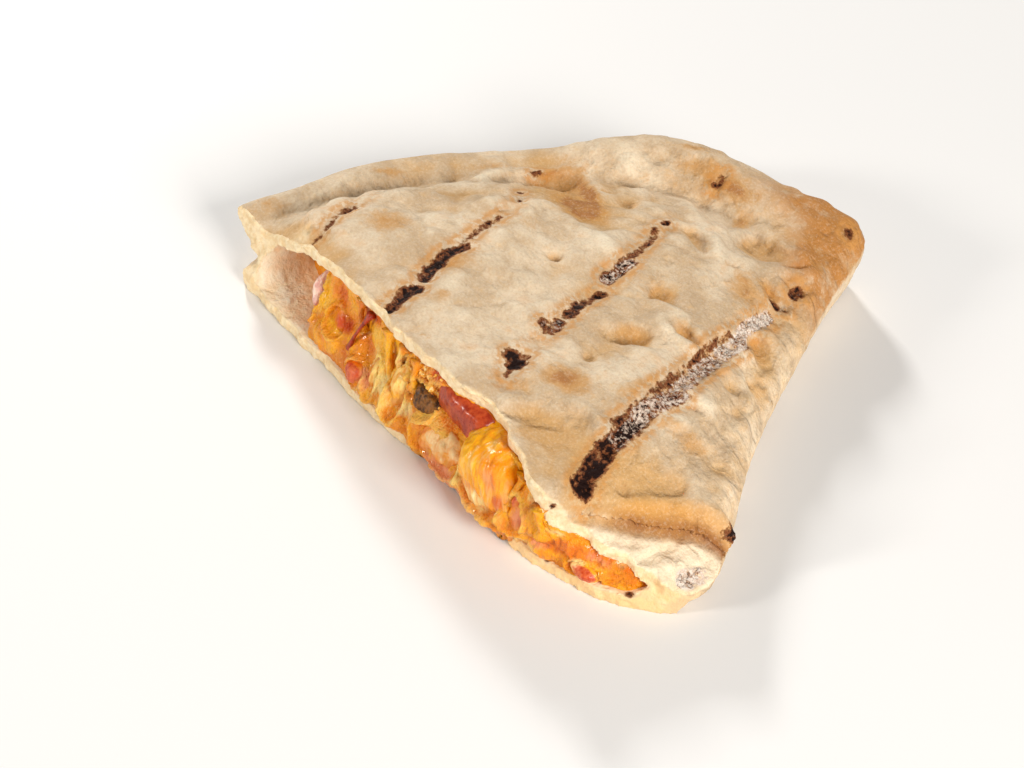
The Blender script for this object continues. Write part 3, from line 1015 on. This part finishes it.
def tube(points, half, sides=10, count=26):
    """A string with a wider foot at both ends, closed at the ends."""
    path = curve(points, count)
    rings = []
    for i, q in enumerate(path):
        t = path[min(i + 1, count - 1)] - path[max(i - 1, 0)]
        t = t / np.linalg.norm(t)
        side = np.cross(t, [0.0, 1.0, 0.0])
        side /= np.linalg.norm(side)
        deep = np.cross(side, t)
        flare = half * (1 + 2.2 * abs(2 * i / (count - 1) - 1) ** 3)
        a = np.linspace(0, 2 * math.pi, sides, endpoint=False)[:, None]
        rings.append(q + side * flare * np.cos(a) + deep * flare * np.sin(a))
    return loft(rings, [tuple(range(sides))])


cheese_verts, cheese_faces = loft(cheese_rings(), [tuple(range(FACE_STEPS + 2 * DEPTH_STEPS - 1))])
body_count = len(cheese_verts)
for points, half in STRINGS:
    verts, faces = tube(points, half)
    start = len(cheese_verts)
    cheese_verts = np.vstack([cheese_verts, verts])
    cheese_faces = cheese_faces + [tuple(i + start for i in face) for face in faces]
cheese = new_piece("melted_cheese", cheese_verts, cheese_faces)
p = plan_points(cheese.data)
x, y, z = p.T
front = smooth(7, 3.5, y - face_place(x, z)) * smooth(-57, -50, x)
front[body_count:] = 0.3
# It lies calmer to the left, and is torn most to the right.
calm = smooth(-4, -12, x)
seam = np.zeros(len(p))
lump = domes(x, z, LOBES) + 0.5 * grain(p, 3.0, 31)
lump += (1 - 0.6 * calm + smooth(32, 38, x)) * 0.28 * grain(p * np.array([1.6, 1.0, 0.7]), 1.3, 33)
torn = np.abs(grain(p * np.array([1.6, 0.6, 0.55]), 2.2, 35))
curds = bumps(x, z, CURDS)
threads = np.abs(grain(p * np.array([2.2, 0.6, 0.3]), 1.7, 38)) * bumps(x, z, THREADS)
lump += 0.8 * (1 - 0.5 * calm) * (torn - 0.3) + 1.1 * curds * np.abs(grain(p, 1.1, 36)) + 1.6 * threads
# The cheese clings to the pieces and rises a little round each one.
for cx, cz, wide, tall in PIECE_RIMS:
    round_piece = np.sqrt(((x - cx) / wide) ** 2 + ((z - cz) / tall) ** 2)
    lump += 1.3 * np.exp(-((round_piece - 1.08) / 0.16) ** 2)
    seam = np.maximum(seam, np.exp(-((round_piece - 0.96) / 0.07) ** 2))
p[:, 1] -= front * lump * smooth(0, 1.5, z)
p[:, 0] += front * 0.35 * grain(p, 1.8, 37)
p[:, 2] = np.maximum(p[:, 2] + front * 0.3 * grain(p, 1.8, 39), 0.15)
set_points(cheese.data, p)
paint_face(cheese.data)
paint_attribute(cheese.data, "low", np.maximum(smooth(0.45, -0.25, lump), 0.9 * seam))
paint_attribute(cheese.data, "high", smooth(1.3, 2.4, lump))
on_face = smooth(1.5, 0.5, face_place(x, z) - 0.8 - y) * (front > 0.5)
paint_attribute(cheese.data, "curds", curds * on_face)
paint_attribute(cheese.data, "threads", bumps(x, z, THREADS))


def cheese_colour(paint):
    """Melted cheese, from pale yellow to deep orange and red where oil and juice have run in."""
    drift = paint.noise(4.5, 3, 0.55, seed=3.0)
    streak = paint.noise(1.6, 3, 0.6, stretch=(1.6, 1.0, 0.5), seed=6.0)
    stir = (streak - 0.5) * 0.9 + (drift - 0.5) * 0.5
    base = paint.mix(drift.step(0.35, 0.62), colour(243, 145, 12), colour(252, 174, 26))
    return paint.layers(base, [
        ((paint.field("yellow") + stir).step(0.15, 0.75) * 0.9, (255, 184, 24)),
        ((paint.field("deep") + stir).step(0.20, 0.85) * 0.8, (232, 108, 8)),
        ((paint.field("red") + stir).step(0.20, 0.85) * 0.85, (206, 54, 6)),
        ((paint.field("pink") + stir).step(0.15, 0.70) * 0.85, (238, 150, 108)),
        ((paint.field("pale") + stir).step(0.25, 0.85) * 0.85, (255, 228, 152)),
    ]), streak


def cheese_finish():
    paint = Paint("melted_cheese")
    base, streak = cheese_colour(paint)
    hair = paint.noise(0.8, 3, 0.6, stretch=(2.2, 0.6, 0.2), seed=14.0)
    crisp = paint.noise(1.0, 3, 0.6, seed=16.0)
    fine = paint.noise(0.7, 2, 0.6, seed=8.0)
    base = paint.layers(base, [
        (paint.field("low") * 0.55, (212, 94, 4)),
        (paint.field("high") * 0.5, (255, 216, 104)),
        (paint.field("threads") * hair.step(0.50, 0.60) * 0.6, (255, 222, 140)),
        (paint.field("curds") * crisp.step(0.52, 0.62) * 0.7, (254, 226, 160)),
        (paint.field("curds") * crisp.step(0.46, 0.36) * 0.7, (176, 90, 18)),
    ])
    paint.finish(
        cheese, Base_Color=base, Roughness=0.20 + fine * 0.20, Normal=paint.bump(streak + fine * 0.7, 0.8),
        Subsurface_Weight=0.12, Subsurface_Scale=0.0015, Subsurface_Radius=(1.0, 0.4, 0.1),
        Specular_IOR_Level=0.24, Coat_Weight=0.35, Coat_Roughness=0.06)


cheese_finish()
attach(cheese, "root")
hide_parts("cheese")


# Pieces are set in the face of the cheese, each a torn or chopped bit with its own grain. Each one
# is kept off the walls of the pocket, and its edges sink into the cheese.
def lump_piece(name, centre, half, turns, square, seed, detail, bulk=0.14, fibre=(1, 1, 1), ridges=0.0,
               size=1.4):
    """A rounded block: bulk noise for its shape, then ridges along its fibres."""
    bm = bmesh.new()
    bmesh.ops.create_icosphere(bm, subdivisions=detail, radius=1.0)
    d = np.array([v.co.normalized() for v in bm.verts])
    faces = [tuple(v.index for v in face.verts) for face in bm.faces]
    bm.free()
    q = d * np.array(half) * (np.abs(d) ** square).sum(1, keepdims=True) ** (-1 / square)
    wobble = grain(q, 4.5, seed) + 0.5 * grain(q, 2.0, seed + 1)
    q = q * (1 + bulk * wobble[:, None])
    rough = np.abs(grain(q * np.array(fibre), size, seed + 2)) - 0.25
    rough = rough + 0.4 * grain(q * np.array(fibre), 0.45 * size, seed + 3)
    q = q + d * (ridges * rough)[:, None]
    turn = np.array(Euler([math.radians(a) for a in turns]).to_matrix())
    q = q @ turn.T + np.array(centre)
    low, high = inner_skin(q[:, 0], q[:, 1], WALL)
    floor = np.where(q[:, 1] > front_of(LOWER_EDGE, q[:, 0]) - 1.0, low, 0.4)
    q[:, 2] = np.maximum(q[:, 2], floor)
    q[:, 2] = np.where(q[:, 1] > front_of(UPPER_EDGE, q[:, 0]) - 1.2, np.minimum(q[:, 2], high), q[:, 2])
    return new_piece(name, q, faces)


def flesh_finish(piece, name, light, dark, cover, rough=0.36, coat=0.15, grain_size=1.2, bump=0.4,
                 drawn=0.0):
    """Cooked flesh with fibres, under patches of cheese that it has sunk into."""
    paint = Paint(name)
    paint_face(piece.data)
    x, y, z = plan_points(piece.data).T
    paint_attribute(piece.data, "sunk", smooth(1.6, -0.2, face_place(x, z) - 0.8 - y))
    sunk = paint.field("sunk")
    streak = paint.noise(grain_size, 3, 0.6, stretch=(1.5, 1.0, 0.35), seed=5.0)
    patch = paint.noise(3.0, 3, 0.6, seed=1.0)
    fine = paint.noise(0.6, 2, 0.6, seed=7.0)
    hair = paint.noise(1.5, 3, 0.6, stretch=(1.8, 0.6, 0.16), seed=14.0)
    base = paint.mix((streak * 0.7 + fine * 0.3).step(0.36, 0.62), colour(*dark), colour(*light))
    covered = (sunk * 0.9 + cover + (patch - 0.5) * 1.2).step(0.35, 0.75)
    base = paint.mix(covered * 0.9, base, cheese_colour(paint)[0])
    pale_hair = (paint.field("pale") * 0.8 + 0.25).clamp() * hair.step(0.49, 0.62)
    base = paint.layers(base, [
        ((sunk + (patch - 0.5)).step(0.6, 1.0) * 0.45, (200, 84, 6)),
        (pale_hair * drawn, (255, 238, 182)),
        (hair.step(0.46, 0.36) * drawn * 0.6, (232, 122, 14)),
    ])
    paint.finish(
        piece, Base_Color=base, Roughness=rough + (fine - 0.5) * 0.2, Coat_Weight=coat,
        Coat_Roughness=0.12, Normal=paint.bump(streak * 0.8 + fine * 0.35, bump),
        Subsurface_Weight=0.08, Subsurface_Scale=0.0015, Specular_IOR_Level=0.3)


def seat(piece, node):
    """The piece takes the place of its solid and of its colour slot."""
    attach(piece, "root")
    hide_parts(node)


# The largest piece is a block of breast meat that sticks out of the cut under a smooth, shiny coat
# of cheese. Its left edge and its foot are pale, its right side is orange.
chunk = lump_piece("chicken_chunk_meat", (28.4, 5.8, 13.8), (7.4, 9.6, 9.0), (8, -14, 12), 4.6, 41, 6,
                   bulk=0.04, fibre=(1.9, 1.0, 0.22), ridges=0.7, size=3.0)
flesh_finish(chunk, "chicken_under_cheese", (244, 168, 30), (234, 146, 12), 0.9,
             rough=0.3, coat=0.22, grain_size=2.4, bump=0.3, drawn=0.8)
seat(chunk, "chicken_chunk")

# Beside it lies a paler torn piece whose fibres show, and thinner strips and slivers further left.
flesh = lump_piece("chicken_flesh_meat", (12.6, 3.2, 8.6), (8.0, 6.2, 4.9), (0, -18, 0), 2.6, 47, 5,
                   bulk=0.16, fibre=(0.6, 1.0, 1.5), ridges=0.4)
flesh_finish(flesh, "torn_chicken", (252, 214, 152), (236, 172, 100), 0.0, grain_size=2.2, drawn=0.4)
seat(flesh, "chicken_flesh")
strip = lump_piece("chicken_strip_meat", (-3.0, 3.8, 12.4), (2.7, 5.9, 8.0), (0, 8, 0), 2.2, 53, 5,
                   bulk=0.16, fibre=(1.8, 1.0, 0.35), ridges=0.5)
flesh_finish(strip, "chicken_strip_skin", (255, 216, 128), (246, 168, 54), 0.2)
seat(strip, "chicken_strip")
sliver = lump_piece("chicken_sliver_meat", (-10.8, 2.1, 9.4), (1.9, 4.9, 5.6), (0, 6, 0), 2.2, 59, 4,
                    bulk=0.16, fibre=(1.8, 1.0, 0.35), ridges=0.4)
flesh_finish(sliver, "chicken_sliver_skin", (255, 218, 130), (246, 172, 62), 0.2)
seat(sliver, "chicken_sliver")

# Tomato, chopped before it went in: a thick red wedge under the lip, wet and nearly smooth, and a
# small orange bit to the left of it.
wedge = lump_piece("tomato_wedge_flesh", (15.2, 6.4, 19.0), (8.4, 6.0, 4.3), (0, 4, 0), 4.4, 61, 5,
                   bulk=0.08, ridges=0.12, size=3.6)
flesh_finish(wedge, "tomato_flesh", (190, 78, 36), (150, 42, 14), -0.15,
             rough=0.3, coat=0.15, grain_size=2.0, bump=0.15)
seat(wedge, "tomato_wedge")
tomato = lump_piece("tomato_bit_flesh", (-26.8, 2.6, 12.4), (3.4, 3.2, 3.2), (0, 20, 0), 2.4, 67, 4,
                    bulk=0.22, ridges=0.5)
flesh_finish(tomato, "tomato_bit_flesh", (236, 98, 10), (196, 50, 2), 0.15,
             rough=0.3, coat=0.1, grain_size=1.4)
seat(tomato, "tomato_bit")

# Pepper: a crumpled dark green leaf of it that has browned, and a thin red strip of its skin that
# runs down the face of the cheese.
leaf = lump_piece("pepper_leaf_skin", (5.6, 4.2, 14.6), (5.0, 5.4, 3.7), (0, 10, 0), 2.8, 71, 5,
                  bulk=0.16, fibre=(0.5, 1, 1.8), ridges=0.5)
flesh_finish(leaf, "pepper_leaf_skin", (140, 88, 30), (54, 28, 5), -0.35,
             rough=0.42, coat=0.05, grain_size=1.3, bump=0.6)
seat(leaf, "pepper_leaf")
STRAND = [
    (-16.4, 0.9, 22.0), (-17.6, -0.2, 19.0), (-19.2, -0.8, 15.4), (-20.4, -1.0, 12.4), (-21.4, -0.6, 9.6),
]
strand = new_piece("pepper_strand_skin", *tube(STRAND, 0.36, 12, 60))
flesh_finish(strand, "pepper_strand_skin", (178, 58, 26), (122, 24, 10), -0.6, rough=0.3)
seat(strand, "pepper_strand")

# Onion, nearly clear, with a purple edge, and three bits of pink ham that were diced and fried.
onion = lump_piece("onion_strip_flesh", (-36.4, 4.6, 12.4), (1.8, 5.6, 5.3), (0, -12, 0), 2.2, 73, 4,
                   ridges=0.3)
flesh_finish(onion, "onion_flesh", (250, 222, 204), (226, 170, 158), -0.5, rough=0.3)
seat(onion, "onion_strip")
for name, centre, half, seed in [
    ("ham_bit", (-16.4, 0.6, 7.0), (3.0, 4.4, 3.1), 79),
    ("ham_piece", (38.2, 3.6, 10.8), (3.0, 5.0, 5.1), 83),
    ("ham_scrap", (53.6, 7.0, 5.5), (3.3, 3.0, 1.6), 89),
]:
    bit = lump_piece(name + "_meat", centre, half, (0, 10, 0), 2.6, seed, 4, bulk=0.2, ridges=0.35)
    flesh_finish(bit, name + "_meat", (224, 108, 56), (196, 68, 28), 0.25, rough=0.3)
    seat(bit, name)

# Crisp crumbs of toasted cheese cling to the face below the lip. They are all alike, so Geometry
# Nodes scatter one rounded grain over the part of the cheese where they lie, and break its shape.
CRUMB_SIZE = 0.42 * MM
CRUMB_DENSITY = 1.5e7
CRUMB_SEED = 7


def crumb_tree():
    """Scatters crumbs where the face is marked as curds, then pushes each one out of shape."""
    tree = bpy.data.node_groups.new("crumb_scatter", "GeometryNodeTree")
    sockets = {}
    for label, kind in (("Surface", "Geometry"), ("Crumbs per square metre", "Float"),
                        ("Crumb radius", "Float"), ("Seed", "Int"), ("Material", "Material")):
        sockets[label] = tree.interface.new_socket(label, in_out="INPUT", socket_type="NodeSocket" + kind)
    tree.interface.new_socket("Crumbs", in_out="OUTPUT", socket_type="NodeSocketGeometry")

    def node(kind, settings, inputs):
        made = tree.nodes.new(kind)
        for key, value in settings.items():
            setattr(made, key, value)
        for key, value in inputs.items():
            if isinstance(value, bpy.types.NodeSocket):
                tree.links.new(value, made.inputs[key])
            else:
                made.inputs[key].default_value = value
        return made

    given = tree.nodes.new("NodeGroupInput").outputs
    share = node("GeometryNodeInputNamedAttribute", {"data_type": "FLOAT"}, {"Name": "curds"})
    share = node("ShaderNodeMath", {"operation": "POWER"}, {0: share.outputs[0], 1: 2.0})
    density = node("ShaderNodeMath", {"operation": "MULTIPLY"},
                   {0: share.outputs[0], 1: given["Crumbs per square metre"]})
    points = node("GeometryNodeDistributePointsOnFaces", {"distribute_method": "RANDOM"},
                  {"Mesh": given["Surface"], "Density": density.outputs[0], "Seed": given["Seed"]})
    grain_mesh = node("GeometryNodeMeshUVSphere", {},
                      {"Radius": given["Crumb radius"], "Segments": 8, "Rings": 5})
    size = node("FunctionNodeRandomValue", {"data_type": "FLOAT"}, {2: 0.35, 3: 1.0, "Seed": given["Seed"]})
    spread = node("GeometryNodeInstanceOnPoints", {}, {
        "Points": points.outputs["Points"], "Instance": grain_mesh.outputs["Mesh"],
        "Rotation": points.outputs["Rotation"], "Scale": size.outputs[1]})
    whole = node("GeometryNodeRealizeInstances", {}, {"Geometry": spread.outputs[0]})
    rough = node("ShaderNodeTexNoise", {}, {"Scale": 0.8 / CRUMB_SIZE, "Detail": 2.0})
    centred = node("ShaderNodeVectorMath", {"operation": "SUBTRACT"},
                   {0: rough.outputs["Color"], 1: (0.5, 0.5, 0.5)})
    pushed = node("ShaderNodeVectorMath", {"operation": "SCALE"},
                  {0: centred.outputs[0], "Scale": given["Crumb radius"]})
    broken = node("GeometryNodeSetPosition", {}, {"Geometry": whole.outputs[0], "Offset": pushed.outputs[0]})
    painted = node("GeometryNodeSetMaterial", {},
                   {"Geometry": broken.outputs[0], "Material": given["Material"]})
    ending = tree.nodes.new("NodeGroupOutput")
    tree.links.new(painted.outputs[0], ending.inputs[0])
    return tree, sockets


def scatter_crumbs():
    paint = Paint("toasted_cheese")
    tone = paint.noise(1.1, 2, 0.6, seed=18.0)
    base = paint.mix(tone.step(0.36, 0.50), colour(204, 112, 22), colour(246, 180, 60))
    base = paint.mix(tone.step(0.54, 0.64), base, colour(255, 230, 160))
    crumbs = bpy.data.objects.new("cheese_crumbs", cheese.data.copy())
    bpy.context.scene.collection.objects.link(crumbs)
    tree, sockets = crumb_tree()
    spread = crumbs.modifiers.new("crumbs", "NODES")
    spread.node_group = tree
    given = {"Crumbs per square metre": CRUMB_DENSITY, "Crumb radius": CRUMB_SIZE, "Seed": CRUMB_SEED,
             "Material": paint.material}
    for label, value in given.items():
        spread[sockets[label].identifier] = value
    evaluated(crumbs)
    crumbs.data.shade_smooth()
    paint.finish(crumbs, Base_Color=base, Roughness=0.34, Coat_Weight=0.2, Coat_Roughness=0.15)
    return crumbs


crumbs = scatter_crumbs()
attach(crumbs, "root")

# The table is a plain pale sheet under soft studio light from the back left, with a bright fill
# from the right and a weak light in front, so that the cut face is lit and the shadows stay faint.
LIGHT_TARGET = Vector((0, 0, 0.01))
FLOOR_GAP = 0.00005
bpy.ops.mesh.primitive_plane_add(size=6, location=(0, 0, -FLOOR_GAP))
floor = bpy.context.object
floor.name = "floor"
white = Paint("pale_table")
white.finish(floor, Base_Color=(0.86, 0.86, 0.86), Roughness=0.6)


def area_light(name, place, size, power, tint):
    light = bpy.data.objects.new(name, bpy.data.lights.new(name, "AREA"))
    light.data.size = size
    light.data.energy = power
    light.data.color = tint
    light.location = place
    light.rotation_euler = (Vector(place) - LIGHT_TARGET).to_track_quat("Z", "Y").to_euler()
    bpy.context.scene.collection.objects.link(light)


area_light("key", (-1.05, 0.36, 0.54), size=0.16, power=10.0, tint=(1.0, 0.98, 0.95))
area_light("fill", (1.05, -0.05, 0.62), size=0.5, power=14.8, tint=(1.0, 0.95, 0.89))
area_light("front", (-0.35, -1.05, 0.46), size=0.18, power=5.6, tint=(1.0, 0.95, 0.88))
bpy.context.scene.view_settings.view_transform = "Standard"
world = bpy.data.worlds.new("studio")
bpy.context.scene.world = world
world.use_nodes = True
world.node_tree.nodes["Background"].inputs["Color"].default_value = (1.0, 0.99, 0.97, 1)
world.node_tree.nodes["Background"].inputs["Strength"].default_value = 0.22
